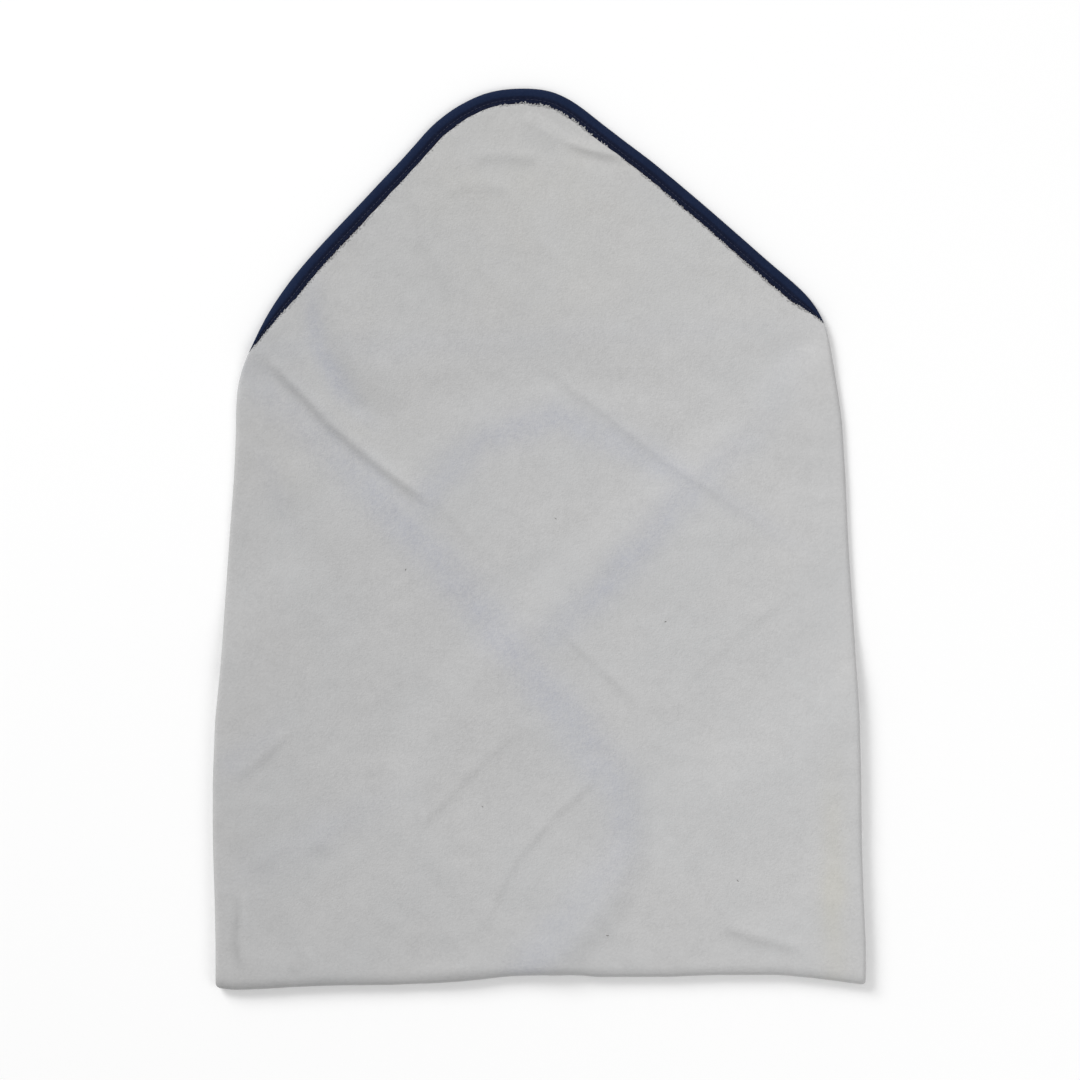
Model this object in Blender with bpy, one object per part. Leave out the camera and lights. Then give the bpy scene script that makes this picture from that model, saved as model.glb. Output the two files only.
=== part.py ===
"""Hooded baby towel, folded flat for storage: a square of white terry with a hood panel in its
top corner and a navy bias binding round every cut edge. The left and right corners are folded
behind, and the bottom corner is then folded up behind them. The outer face lies upwards.

Frame: metres, +Z up. The folded towel lies on z = 0 with the hood's tip towards +Y, and the
origin is the middle of its footprint. Every layer of cloth is a plain solid of the cloth's
thickness, and the bound edges are a tongue of pressed terry held in a U of tape.
"""

import math

import bmesh
import bpy

MM = 0.001

# ---------------------------------------------------------------- driving dimensions, in mm
CLOTH = 2.4            # terry with its pile
GAP = 0.3              # between two layers that lie on each other
PITCH = CLOTH + GAP    # from one layer to the next
POCKET = 0.8           # between the hood panel and the main sheet, open as a pocket

TAPE_W = 12.0          # finished width of the binding
TAPE_T = 0.45          # folded tape, each side
WEB = 0.5              # tape round the very edge
TONGUE_Z = (0.75, 1.65)  # pressed terry inside the tape
TONGUE_IN = 0.8        # from the tape's outer edge to the terry's cut edge

HALF_W = 229.0         # half the width at the bottom fold
HALF_L = 314.0         # half the length
EDGE_IN = 0.2          # the layers end this far inside the bottom fold line
SIDE_LEAN_L = 0.0448   # the side folds lean inwards towards the hood
SIDE_LEAN_R = 0.0495

CORNER_R = 76.0        # the towel's rounded corners
HOOD_TIP = (-21.1, 342.7)      # where the two hood edges would meet if the tip was sharp
HOOD_DIR_L = (-0.682, -0.731)  # along the two hood edges, from the tip
HOOD_DIR_R = (0.764, -0.645)
SHOULDER_R = (30.0, 26.0)      # where a hood edge rolls into a side fold, left and right
HOOD_END_Y = (128.0, 137.0)    # where the binding rolls under, left and right
HOOD_LINE = ((-203.0, 128.5), (197.1, 149.5))  # the hood panel's bound opening edge

LEFT_TOP_Y, RIGHT_TOP_Y = 124.0, 134.0  # where each side flap starts on its fold
LEFT_CORNER = (83.0, -207.6)   # the towel's left corner, folded behind
LEFT_LEAVES_X = -6.7           # where that flap's lower edge meets the bottom fold
RIGHT_CORNER = (-115.2, -174.7)
RIGHT_LEAVES_X = 35.3
BOTTOM_CORNER = (7.4, 122.9)   # the towel's bottom corner, folded up
BOTTOM_SIDE_Y = (-96.3, -115.0)  # where its edges meet the side folds, left and right

RAMP_Y = (92.8, 125.0)         # the stack falls from its full height to the hood's over this

THREAD_R = 0.2                 # seam thread on the hood edges
THREAD_IN = 9.5                # from the edge of the tape to the seam
POCKET_THREAD_R = 0.12

Z_BOTTOM = 0.0
Z_TAILS = PITCH
Z_HINGE = 2 * PITCH - GAP / 2  # height of the bottom fold's hinge line
Z_RIGHT = 2 * PITCH
Z_LEFT = 3 * PITCH
Z_FRONT = 4 * PITCH
Z_FRONT_HOOD = CLOTH + POCKET

ARC_STEPS = 10
FAR = 600.0

# ---------------------------------------------------------------- scene
for old in list(bpy.data.objects):
    bpy.data.objects.remove(old, do_unlink=True)


def collection(name):
    found = bpy.data.collections.get(name) or bpy.data.collections.new(name)
    if found.name not in bpy.context.scene.collection.children:
        bpy.context.scene.collection.children.link(found)
    return found


PARTS = collection("hooded_baby_towel")
CUTTERS = collection("towel_cutters")


def material(name, color, roughness):
    m = bpy.data.materials.new(name)
    m.use_nodes = True
    shader = m.node_tree.nodes["Principled BSDF"]
    shader.inputs["Base Color"].default_value = (*color, 1.0)
    shader.inputs["Roughness"].default_value = roughness
    shader.inputs["Metallic"].default_value = 0.0
    m.diffuse_color = (*color, 1.0)
    return m


TERRY = material("white_terry", (0.82, 0.82, 0.83), 0.95)
HOOD_TERRY = material("hood_terry", (0.80, 0.80, 0.81), 0.95)
TAPE = material("navy_tape", (0.014, 0.019, 0.05), 0.8)
THREAD = material("navy_thread", (0.02, 0.025, 0.06), 0.6)


# ---------------------------------------------------------------- plane geometry, in mm
def sub(a, b):
    return (a[0] - b[0], a[1] - b[1])


def along(p, d, s):
    return (p[0] + d[0] * s, p[1] + d[1] * s)


def unit(d):
    n = math.hypot(*d)
    return (d[0] / n, d[1] / n)


def left_of(d):
    return (-d[1], d[0])


def crossing(p, d, q, e):
    """Where the line through p along d meets the line through q along e."""
    det = d[0] * e[1] - d[1] * e[0]
    w = sub(q, p)
    return along(p, d, (w[0] * e[1] - w[1] * e[0]) / det)


def fillet(points, radii):
    """An open path through the points, with an arc of each radius at each inner point."""
    path = [points[0]]
    for before, at, after, r in zip(points, points[1:], points[2:], radii):
        a, b = unit(sub(before, at)), unit(sub(after, at))
        half = math.acos(max(-1.0, min(1.0, a[0] * b[0] + a[1] * b[1]))) / 2
        reach, middle = r / math.tan(half), unit((a[0] + b[0], a[1] + b[1]))
        centre = along(at, middle, r / math.sin(half))
        start, end = sub(along(at, a, reach), centre), sub(along(at, b, reach), centre)
        first, last = math.atan2(start[1], start[0]), math.atan2(end[1], end[0])
        turn = (last - first + math.pi) % (2 * math.pi) - math.pi
        path += [
            (
                centre[0] + r * math.cos(first + turn * i / ARC_STEPS),
                centre[1] + r * math.sin(first + turn * i / ARC_STEPS),
            )
            for i in range(ARC_STEPS + 1)
        ]
    return path + [points[-1]]


def inset(path, d, lengthen=(0.0, 0.0)):
    """The open path moved d to its left, each end lengthened along its own direction."""
    moved = []
    for i, p in enumerate(path):
        before = unit(sub(p, path[i - 1])) if i else unit(sub(path[1], p))
        after = unit(sub(path[i + 1], p)) if i < len(path) - 1 else before
        n = unit((left_of(before)[0] + left_of(after)[0], left_of(before)[1] + left_of(after)[1]))
        moved.append(along(p, n, d / (n[0] * left_of(after)[0] + n[1] * left_of(after)[1])))
    first, last = unit(sub(moved[0], moved[1])), unit(sub(moved[-1], moved[-2]))
    moved[0], moved[-1] = along(moved[0], first, lengthen[0]), along(moved[-1], last, lengthen[1])
    return moved


def band(path, near, far, lengthen=(0.0, 0.0)):
    """The outline of the strip between two insets of a path."""
    return inset(path, near, lengthen) + inset(path, far, lengthen)[::-1]


def halves(path, corner, gap=GAP):
    """The path cut in two in the middle of the stretch nearest a corner, with a small gap."""
    k = min(range(1, len(path) - 2), key=lambda i: math.dist(path[i], corner))
    d, reach = unit(sub(path[k + 1], path[k])), math.dist(path[k], path[k + 1]) / 2
    middle = along(path[k], d, reach)
    return path[: k + 1] + [along(middle, d, -gap / 2)], [along(middle, d, gap / 2)] + path[k + 1 :]


# ---------------------------------------------------------------- solids
def as_mesh(curve_object):
    """The curve's filled solid as a closed mesh object, with its caps welded."""
    bpy.context.view_layer.update()
    evaluated = curve_object.evaluated_get(bpy.context.evaluated_depsgraph_get())
    mesh = bpy.data.meshes.new_from_object(evaluated)
    b = bmesh.new()
    b.from_mesh(mesh)
    bmesh.ops.remove_doubles(b, verts=b.verts, dist=0.000001)
    bmesh.ops.recalc_face_normals(b, faces=b.faces)
    b.to_mesh(mesh)
    b.free()
    made = bpy.data.objects.new(curve_object.name + "_solid", mesh)
    made.matrix_world = curve_object.matrix_world.copy()
    CUTTERS.objects.link(made)
    made.hide_render = True
    made.display_type = "WIRE"
    data = curve_object.data
    bpy.data.objects.remove(curve_object, do_unlink=True)
    bpy.data.curves.remove(data)
    return made


def filled(name, outline, half_depth):
    """A flat outline in mm, filled and extruded by half its depth each way."""
    data = bpy.data.curves.new(name, "CURVE")
    data.dimensions = "2D"
    data.fill_mode = "BOTH"
    data.extrude = half_depth * MM
    spline = data.splines.new("POLY")
    spline.points.add(len(outline) - 1)
    for point, (x, y) in zip(spline.points, outline):
        point.co = (x * MM, y * MM, 0.0, 1.0)
    spline.use_cyclic_u = True
    made = bpy.data.objects.new(name, data)
    CUTTERS.objects.link(made)
    return made


def prism(outline, low=-50.0, high=50.0):
    """An upright block of the outline, between two heights."""
    made = filled("prism", outline, (high - low) / 2)
    made.location.z = (high + low) / 2 * MM
    return as_mesh(made)


def sheet(heights, low, high):
    """A sheet that spans the whole plan. heights are its underside's (y, z), and low and high
    are where its two faces are above that."""
    outline = [(y, z + low) for y, z in heights] + [(y, z + high) for y, z in heights[::-1]]
    made = filled("sheet", outline, FAR / 2)
    # the outline's own x and y are the world's Y and Z
    made.rotation_euler = (math.pi / 2, 0.0, math.pi / 2)
    return as_mesh(made)


def combine(base, other, operation):
    """The Boolean of two solids, EXACT, in place of both."""
    step = base.modifiers.new("combine", "BOOLEAN")
    step.operation, step.solver, step.object = operation, "EXACT", other
    bpy.context.view_layer.update()
    evaluated = base.evaluated_get(bpy.context.evaluated_depsgraph_get())
    mesh = bpy.data.meshes.new_from_object(evaluated)
    made = bpy.data.objects.new(base.name, mesh)
    made.matrix_world = base.matrix_world.copy()
    CUTTERS.objects.link(made)
    for used in (base, other):
        data = used.data
        bpy.data.objects.remove(used, do_unlink=True)
        if not data.users:
            bpy.data.meshes.remove(data)
    return made


def finish(solid, name, look):
    """Names a solid, bakes its place into its mesh, and files it with the parts."""
    mesh = solid.data
    mesh.transform(solid.matrix_world)
    b = bmesh.new()
    b.from_mesh(mesh)
    bmesh.ops.remove_doubles(b, verts=b.verts, dist=0.000002)
    bmesh.ops.dissolve_limit(b, angle_limit=math.radians(0.05), verts=b.verts, edges=b.edges)
    bmesh.ops.triangulate(b, faces=b.faces)
    bmesh.ops.recalc_face_normals(b, faces=b.faces)
    b.to_mesh(mesh)
    b.free()
    bpy.data.objects.remove(solid, do_unlink=True)
    mesh.name = name
    mesh.materials.clear()
    mesh.materials.append(look)
    made = bpy.data.objects.new(name, mesh)
    PARTS.objects.link(made)
    return made


# ---------------------------------------------------------------- the folded towel's lines
def side_x(y, side):
    """X of the left (-1) or right (+1) fold at a height up the towel."""
    lean = SIDE_LEAN_L if side < 0 else SIDE_LEAN_R
    return side * (HALF_W - EDGE_IN - lean * (y + HALF_L))


def on_fold(y, side):
    return (side_x(y, side), y)


FOOT = -HALF_L + EDGE_IN
FOOT_L, FOOT_R = (-HALF_W + EDGE_IN, FOOT), (HALF_W - EDGE_IN, FOOT)
LEFT_FOLD, RIGHT_FOLD = (on_fold(0, -1), on_fold(100, -1)), (on_fold(0, 1), on_fold(100, 1))
BOTTOM_FOLD = (FOOT_L, FOOT_R)
SHOULDER_L = crossing(HOOD_TIP, HOOD_DIR_L, on_fold(0, -1), sub(on_fold(100, -1), on_fold(0, -1)))
SHOULDER_RT = crossing(HOOD_TIP, HOOD_DIR_R, on_fold(0, 1), sub(on_fold(100, 1), on_fold(0, 1)))

hood_path = fillet(
    [on_fold(HOOD_END_Y[1], 1), SHOULDER_RT, HOOD_TIP, SHOULDER_L, on_fold(HOOD_END_Y[0], -1)],
    [SHOULDER_R[1], CORNER_R, SHOULDER_R[0]],
)
hood_tip_point = min(hood_path, key=lambda p: math.dist(p, HOOD_TIP))
left_path = fillet(
    [(LEFT_LEAVES_X, FOOT), LEFT_CORNER, on_fold(LEFT_TOP_Y, -1)], [CORNER_R]
)
right_path = fillet(
    [on_fold(RIGHT_TOP_Y, 1), RIGHT_CORNER, (RIGHT_LEAVES_X, FOOT)], [CORNER_R]
)
bottom_path = fillet(
    [on_fold(BOTTOM_SIDE_Y[1], 1), BOTTOM_CORNER, on_fold(BOTTOM_SIDE_Y[0], -1)], [CORNER_R]
)
left_tail_path = [(LEFT_LEAVES_X, FOOT), on_fold(BOTTOM_SIDE_Y[0], -1)]
right_tail_path = [on_fold(BOTTOM_SIDE_Y[1], 1), (RIGHT_LEAVES_X, FOOT)]
hood_line_path = [HOOD_LINE[0], HOOD_LINE[1]]  # the hood panel is on its left, towards the tip


def footprint(trim=0.0):
    """The whole folded towel's outline, drawn in by trim at its side and bottom folds."""
    return [
        (FOOT_L[0] + trim, FOOT + trim),
        (FOOT_R[0] - trim, FOOT + trim),
        *[(p[0] - (trim if i == 0 else 0), p[1]) for i, p in enumerate(hood_path[:-1])],
        (hood_path[-1][0] + trim, hood_path[-1][1]),
    ]


# Height of each layer's underside along the towel.
def ramp(full, hood):
    return [(-FAR / 2 - 50, full), (RAMP_Y[0], full), (RAMP_Y[1], hood), (FAR, hood)]


H_FRONT = ramp(Z_FRONT, Z_FRONT_HOOD)
H_LEFT = ramp(Z_LEFT, 0.0)
H_RIGHT = ramp(Z_RIGHT, 0.0)


def level(z):
    return [(-FAR, z), (FAR, z)]


# ---------------------------------------------------------------- builders
def panel(name, heights, outline, path, look, tongue_path=None):
    """A layer of terry: full thickness up to the tape, and a pressed tongue inside the tape."""
    body = combine(sheet(heights, 0.0, CLOTH), prism(outline), "INTERSECT")
    if path:
        strip = band(path, TONGUE_IN, TAPE_W + 4.0, (20.0, 20.0))
        tongue = combine(sheet(heights, *TONGUE_Z), prism(strip), "INTERSECT")
        tongue = combine(tongue, prism(footprint(0.6)), "INTERSECT")
        body = combine(body, tongue, "UNION")
    return finish(body, name, look)


def meet(path, end, a, b):
    """Where the path's tape line, at its first (0) or last (-1) end, meets the line from a to b."""
    moved = inset(path, TAPE_W + GAP)
    near, next_one = (moved[0], moved[1]) if end == 0 else (moved[-1], moved[-2])
    return crossing(near, sub(near, next_one), a, sub(b, a))


def layer(path, start_line, end_line, *corners):
    """The outline of a layer's full thickness: inside its tape, from one fold to another."""
    return [
        *corners,
        meet(path, 0, *start_line),
        *inset(path, TAPE_W + GAP)[1:-1],
        meet(path, -1, *end_line),
    ]


def binding(name, heights, path, look, depth=CLOTH, to_folds=(0.0, 0.0)):
    """A U of tape along a path, open towards the cloth, and cut off at the folds."""
    strip = band(path, 0.0, TAPE_W, to_folds)
    tape = combine(sheet(heights, 0.0, depth), prism(strip), "INTERSECT")
    hollow = combine(
        sheet(heights, TAPE_T, depth - TAPE_T),
        prism(band(path, WEB, TAPE_W + 3.0, (45.0, 45.0) if any(to_folds) else (5.0, 5.0))),
        "INTERSECT",
    )
    tape = combine(tape, hollow, "DIFFERENCE")
    if any(to_folds):
        tape = combine(tape, prism(footprint()), "INTERSECT")
    return finish(tape, name, look)


def thread(name, path, z, radius, look):
    """A seam's thread: a thin round line along a path."""
    data = bpy.data.curves.new(name, "CURVE")
    data.dimensions = "3D"
    data.bevel_depth = radius * MM
    data.bevel_resolution = 1
    data.use_fill_caps = True
    spline = data.splines.new("POLY")
    spline.points.add(len(path) - 1)
    for point, (x, y) in zip(spline.points, path):
        point.co = (x * MM, y * MM, z * MM, 1.0)
    made = bpy.data.objects.new(name, data)
    CUTTERS.objects.link(made)
    return finish(as_mesh(made), name, look)


def inside_hood(d, below_to_sides=True):
    """Everything further than d inside the two hood edges, as an outline. Below them it
    reaches past the side folds, or stays as narrow as at their ends."""
    out = HALF_W + 60
    if not below_to_sides:
        return inset(hood_path, d, (60.0, 60.0)) + [(-HALF_W / 2, -FAR), (HALF_W / 2, -FAR)]
    line = inset(hood_path, d, (GAP, GAP))
    return line + [(-out, line[-1][1]), (-out, -FAR), (out, -FAR), (out, line[0][1])]


# ---------------------------------------------------------------- root: the folded body
whole = footprint()

# main sheet: the layer that lies uppermost, from the hood's tip to the bottom fold
front = combine(sheet(H_FRONT, 0.0, CLOTH), prism(whole), "INTERSECT")
front = combine(
    front, prism(inside_hood(TAPE_W + GAP)), "INTERSECT"
)
front_tongue = combine(
    sheet(H_FRONT, *TONGUE_Z), prism(band(hood_path, TONGUE_IN, TAPE_W + 4.0, (-1.0, -1.0))), "INTERSECT"
)
finish(combine(front, front_tongue, "UNION"), "main_sheet_front", TERRY)

# hood panel: sewn into the two hood edges' binding, with its own bound opening edge
line_dir = unit(sub(HOOD_LINE[1], HOOD_LINE[0]))
line_in = left_of(line_dir)


def above_line(d):
    """A half plane on the hood's side of its opening edge, as an outline."""
    a = along(along(HOOD_LINE[0], line_in, d), line_dir, -FAR)
    b = along(along(HOOD_LINE[1], line_in, d), line_dir, FAR)
    return [a, b, along(b, line_in, FAR), along(a, line_in, FAR)]


hood = combine(sheet(level(0.0), 0.0, CLOTH), prism(above_line(TAPE_W + GAP)), "INTERSECT")
hood = combine(hood, prism(inside_hood(TAPE_W + GAP, False)), "INTERSECT")
margin = combine(sheet(level(0.0), *TONGUE_Z), prism(above_line(TONGUE_IN)), "INTERSECT")
margin = combine(margin, prism(inside_hood(TONGUE_IN, False)), "INTERSECT")
finish(combine(hood, margin, "UNION"), "hood_panel", HOOD_TERRY)

# the hood opening's binding, its ends inside the edge binding's line
opening = combine(
    sheet(level(0.0), 0.0, CLOTH), prism(band(hood_line_path, 0.0, TAPE_W, (30.0, 30.0))), "INTERSECT"
)
opening_hollow = combine(
    sheet(level(0.0), TAPE_T, CLOTH - TAPE_T),
    prism(band(hood_line_path, WEB, TAPE_W + 3.0, (60.0, 60.0))),
    "INTERSECT",
)
opening = combine(opening, prism(inside_hood(TAPE_W + 2 * GAP, False)), "INTERSECT")
opening = combine(opening, opening_hollow, "DIFFERENCE")
finish(opening, "hood_opening_binding", TAPE)

# binding on the two hood edges: it holds the main sheet and the hood panel together
right_half, left_half = halves(hood_path, hood_tip_point)
HOOD_DEPTH = Z_FRONT_HOOD + CLOTH
binding("hood_edge_binding_right", level(0.0), right_half, TAPE, HOOD_DEPTH)
binding("hood_edge_binding_left", level(0.0), left_half, TAPE, HOOD_DEPTH)

seam_z = HOOD_DEPTH + GAP + THREAD_R
thread("hood_edge_seam_right", inset(right_half, THREAD_IN, (-2.0, -2.0)), seam_z, THREAD_R, THREAD)
thread("hood_edge_seam_left", inset(left_half, THREAD_IN, (-2.0, -2.0)), seam_z, THREAD_R, THREAD)
seam_a, seam_b = inset(hood_line_path, THREAD_IN, (-30.0, -30.0))
thread(
    "hood_opening_seam", [seam_a, seam_b], CLOTH + POCKET / 2, POCKET_THREAD_R, THREAD
)

# right flap: the towel's right corner, folded behind the left flap
panel(
    "right_flap",
    H_RIGHT,
    layer(right_path, RIGHT_FOLD, BOTTOM_FOLD, FOOT_R),
    right_path,
    TERRY,
)
upper, lower = halves(right_path, RIGHT_CORNER)
binding("right_flap_binding_upper", H_RIGHT, upper, TAPE, to_folds=(30.0, 0.0))
binding("right_flap_binding_lower", H_RIGHT, lower, TAPE, to_folds=(0.0, 30.0))

# left flap: the towel's left corner, folded behind the main sheet
panel(
    "left_flap",
    H_LEFT,
    layer(left_path, BOTTOM_FOLD, LEFT_FOLD, FOOT_L),
    left_path,
    TERRY,
)
lower, upper = halves(left_path, LEFT_CORNER)
binding("left_flap_binding_lower", H_LEFT, lower, TAPE, to_folds=(30.0, 0.0))
binding("left_flap_binding_upper", H_LEFT, upper, TAPE, to_folds=(0.0, 30.0))

# ---------------------------------------------------------------- the bottom flap, which opens
# main sheet again: the towel's bottom corner, folded up behind everything, on the table
panel(
    "bottom_flap",
    level(Z_BOTTOM),
    layer(bottom_path, RIGHT_FOLD, LEFT_FOLD, FOOT_L, FOOT_R),
    bottom_path,
    TERRY,
)
right_half, left_half = halves(bottom_path, min(bottom_path, key=lambda p: math.dist(p, BOTTOM_CORNER)))
binding("bottom_flap_binding_right", level(Z_BOTTOM), right_half, TAPE, to_folds=(30.0, 0.0))
binding("bottom_flap_binding_left", level(Z_BOTTOM), left_half, TAPE, to_folds=(0.0, 30.0))

# the side flaps' lower ends, turned up with it
panel(
    "left_flap_tail",
    level(Z_TAILS),
    layer(left_tail_path, BOTTOM_FOLD, LEFT_FOLD, FOOT_L),
    left_tail_path,
    TERRY,
)
binding("left_flap_tail_binding", level(Z_TAILS), left_tail_path, TAPE, to_folds=(30.0, 30.0))
panel(
    "right_flap_tail",
    level(Z_TAILS),
    layer(right_tail_path, RIGHT_FOLD, BOTTOM_FOLD, FOOT_R),
    right_tail_path,
    TERRY,
)
binding("right_flap_tail_binding", level(Z_TAILS), right_tail_path, TAPE, to_folds=(30.0, 30.0))

# an empty on the bottom fold's hinge line; what turns about it hangs from it
hinge = bpy.data.objects.new("bottom_fold_axis", None)
hinge.location = (0.0, -HALF_L * MM, Z_HINGE * MM)
PARTS.objects.link(hinge)
bpy.context.view_layer.update()
for made in list(PARTS.objects):
    if made.name.startswith("bottom_flap") or "_tail" in made.name:
        made.parent = hinge
        made.matrix_parent_inverse = hinge.matrix_world.inverted()

for spare in list(CUTTERS.objects):
    bpy.data.objects.remove(spare, do_unlink=True)
bpy.context.view_layer.update()
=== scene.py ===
"""The looks of the folded hooded towel: draped terry, rolled folds, bias tape, stitches and pile."""
import math

import bmesh
import bpy
import numpy as np
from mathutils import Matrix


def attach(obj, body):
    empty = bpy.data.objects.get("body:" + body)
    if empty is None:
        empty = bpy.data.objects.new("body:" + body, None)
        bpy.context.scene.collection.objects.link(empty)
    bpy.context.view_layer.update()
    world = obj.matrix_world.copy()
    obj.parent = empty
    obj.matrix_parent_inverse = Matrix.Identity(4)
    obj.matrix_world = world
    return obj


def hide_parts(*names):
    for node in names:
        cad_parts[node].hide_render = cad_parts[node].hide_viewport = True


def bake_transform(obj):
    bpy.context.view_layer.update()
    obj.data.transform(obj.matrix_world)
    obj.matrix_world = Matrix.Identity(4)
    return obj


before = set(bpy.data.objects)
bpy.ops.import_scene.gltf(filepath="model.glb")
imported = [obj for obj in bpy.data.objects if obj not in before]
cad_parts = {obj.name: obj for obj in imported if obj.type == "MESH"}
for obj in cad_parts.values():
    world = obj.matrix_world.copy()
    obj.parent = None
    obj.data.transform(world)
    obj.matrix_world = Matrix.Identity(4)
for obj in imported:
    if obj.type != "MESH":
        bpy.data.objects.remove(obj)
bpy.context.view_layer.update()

MM = 0.001
ROOT, FLAP = "folded_body", "bottom_flap"
RNG = np.random.default_rng(761)

# ------------------------------------------------------------------ sizes, in mm
T = 2.4  # a layer of terry
P = 2.7  # from one layer to the next
POCKET = 0.8
Z_HINGE = 5.25
TAPE_W = 11.2
HINGE_Y = -314.0

# the side folds and hood edges as they lie, (y, x) from the bottom fold up to the hood's tip
LEFT_EDGE = [
    (-316, -226.6), (-290, -227.2), (-255, -227.9), (-213, -229.2), (-171, -229.2), (-129, -227.6),
    (-87, -223.4), (-45, -220.8), (-3, -218.0), (39, -214.8), (70, -213.4), (91, -213.2),
    (103, -212.3), (113, -210.2), (123, -206.8), (130, -203.4), (137, -200.4), (144, -197.1),
    (151, -193.5), (158, -189.5), (165, -185.1), (179, -175.2), (193, -163.6), (207, -150.9),
    (221, -137.6), (235, -124.3), (249, -111.3), (263, -97.9), (277, -85.4), (284, -79.5),
    (289.5, -73.9), (295, -67.0), (300.7, -59.2), (306.2, -48.7), (309.5, -41.5), (312.2, -32.0),
]
TIP = [(313.6, -22.0), (314.0, -10.0), (313.4, 0.0)]
RIGHT_EDGE = [
    (-316, 228.4), (-290, 228.4), (-255, 226.7), (-213, 225.3), (-171, 225.0), (-129, 224.0),
    (-87, 221.4), (-45, 218.9), (-3, 216.2), (39, 214.4), (81, 211.8), (102, 208.8),
    (123, 205.4), (130, 204.0), (137, 202.7), (144, 201.0), (151, 198.6), (158, 195.2),
    (165, 190.4), (172, 184.0), (179, 176.2), (193, 159.6), (207, 143.8), (221, 127.8),
    (235, 111.6), (249, 95.0), (263, 78.0), (277, 59.3), (284, 50.2), (289.5, 43.0),
    (295, 36.2), (300.7, 29.0), (306.2, 20.7), (309.3, 14.6), (311.9, 8.0),
]
# the bottom fold, (x, y): it stands out where side flaps lie in it
BOTTOM_EDGE = [
    (-229, -316.0), (-222, -317.6), (-212, -318.2), (-200, -317.6), (-175, -315.9), (-149, -314.8),
    (-99, -314.6), (-74, -313.4), (-49, -311.4), (-24, -308.8), (0, -307.8), (20, -308.0),
    (40, -309.0), (90, -309.2), (115, -307.9), (140, -307.8), (166, -307.4), (191, -309.6),
    (216, -312.8), (229, -314.8),
]
LEFT_FLAP_PATH = [(-6.7, -314, 0), (83.0, -207.6, 76), (-212.0, 126.0, 0)]
RIGHT_FLAP_PATH = [(208.0, 134.0, 0), (-115.2, -174.7, 76), (35.3, -314, 0)]
BOTTOM_PATH = [(222.0, -115.0, 0), (7.4, 122.9, 76), (-224.0, -96.3, 0)]
HOOD_LINE = [(-204.0, 128.5), (-77.0, 134.0), (91.0, 145.0), (198.0, 149.5)]


def smooth(v, a=0.0, b=1.0):
    v = np.clip((np.asarray(v, float) - a) / (b - a), 0, 1)
    return v * v * (3 - 2 * v)


def curve(points, step=1.0, soften=4.0):
    """A smooth line through the points: evenly resampled, then averaged along its length."""
    p = np.array(points, float)
    s = np.r_[0, np.cumsum(np.linalg.norm(np.diff(p, axis=0), axis=1))]
    at = np.linspace(0, s[-1], max(8, int(s[-1] / step)))
    q = np.stack([np.interp(at, s, p[:, k]) for k in range(p.shape[1])], 1)
    n = int(soften * 3 / step)
    if n > 1:
        kernel = np.exp(-0.5 * (np.arange(-n, n + 1) * step / soften) ** 2)
        kernel /= kernel.sum()
        head = 2 * q[0] - q[1 : n + 1][::-1]
        tail = 2 * q[-1] - q[-n - 1 : -1][::-1]
        wide = np.vstack([head, q, tail])
        q = np.stack([np.convolve(wide[:, k], kernel, "valid") for k in range(p.shape[1])], 1)
    return q


def rounded(corners, steps=24):
    """An open path through (x, y, radius) corners."""
    path = [np.array(corners[0][:2], float)]
    for a, c, b in zip(corners, corners[1:], corners[2:]):
        at, r = np.array(c[:2], float), c[2]
        u = np.array(a[:2]) - at
        v = np.array(b[:2]) - at
        u, v = u / np.linalg.norm(u), v / np.linalg.norm(v)
        half = math.acos(float(u @ v)) / 2
        m = (u + v) / np.linalg.norm(u + v)
        o = at + m * r / math.sin(half)
        s, e = at + u * r / math.tan(half) - o, at + v * r / math.tan(half) - o
        a0, a1 = math.atan2(s[1], s[0]), math.atan2(e[1], e[0])
        turn = (a1 - a0 + math.pi) % (2 * math.pi) - math.pi
        path += [o + r * np.array([math.cos(a0 + turn * i / steps), math.sin(a0 + turn * i / steps)]) for i in range(steps + 1)]
    return np.array(path + [np.array(corners[-1][:2], float)])


def normals_left(path):
    d = np.gradient(path, axis=0)
    d /= np.linalg.norm(d, axis=1)[:, None]
    return np.stack([-d[:, 1], d[:, 0]], 1)


def to_line(x, y, line):
    """(distance, position along, signed distance with + on the left) from points to a polyline."""
    x, y = np.asarray(x, float), np.asarray(y, float)
    shape = x.shape
    q = np.stack([x.ravel(), y.ravel()], 1)
    best, where, side = np.full(len(q), 1e9), np.zeros(len(q)), np.zeros(len(q))
    a = np.asarray(line, float)
    for i in range(len(a) - 1):
        d = a[i + 1] - a[i]
        if not d.any():
            continue
        w = q - a[i]
        t = np.clip((w @ d) / (d @ d), 0, 1)
        off = w - t[:, None] * d
        dist = np.hypot(off[:, 0], off[:, 1])
        near = dist < best
        best[near], where[near] = dist[near], i + t[near]
        side[near] = np.sign(d[0] * w[near, 1] - d[1] * w[near, 0])
    return best.reshape(shape), where.reshape(shape), (best * side).reshape(shape)


def inside(x, y, polygon, ease):
    """1 inside a polygon, easing to 0 over a distance outside it."""
    line = np.vstack([polygon, polygon[:1]])
    d, _, _ = to_line(x, y, line)
    xr, yr = np.asarray(x, float), np.asarray(y, float)
    odd = np.zeros(xr.shape, bool)
    for a, b in zip(line[:-1], line[1:]):
        if a[1] == b[1]:
            continue
        odd ^= ((a[1] > yr) != (b[1] > yr)) & (xr < (b[0] - a[0]) * (yr - a[1]) / (b[1] - a[1]) + a[0])
    return np.where(odd, 1.0, 1 - smooth(d / ease))


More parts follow.
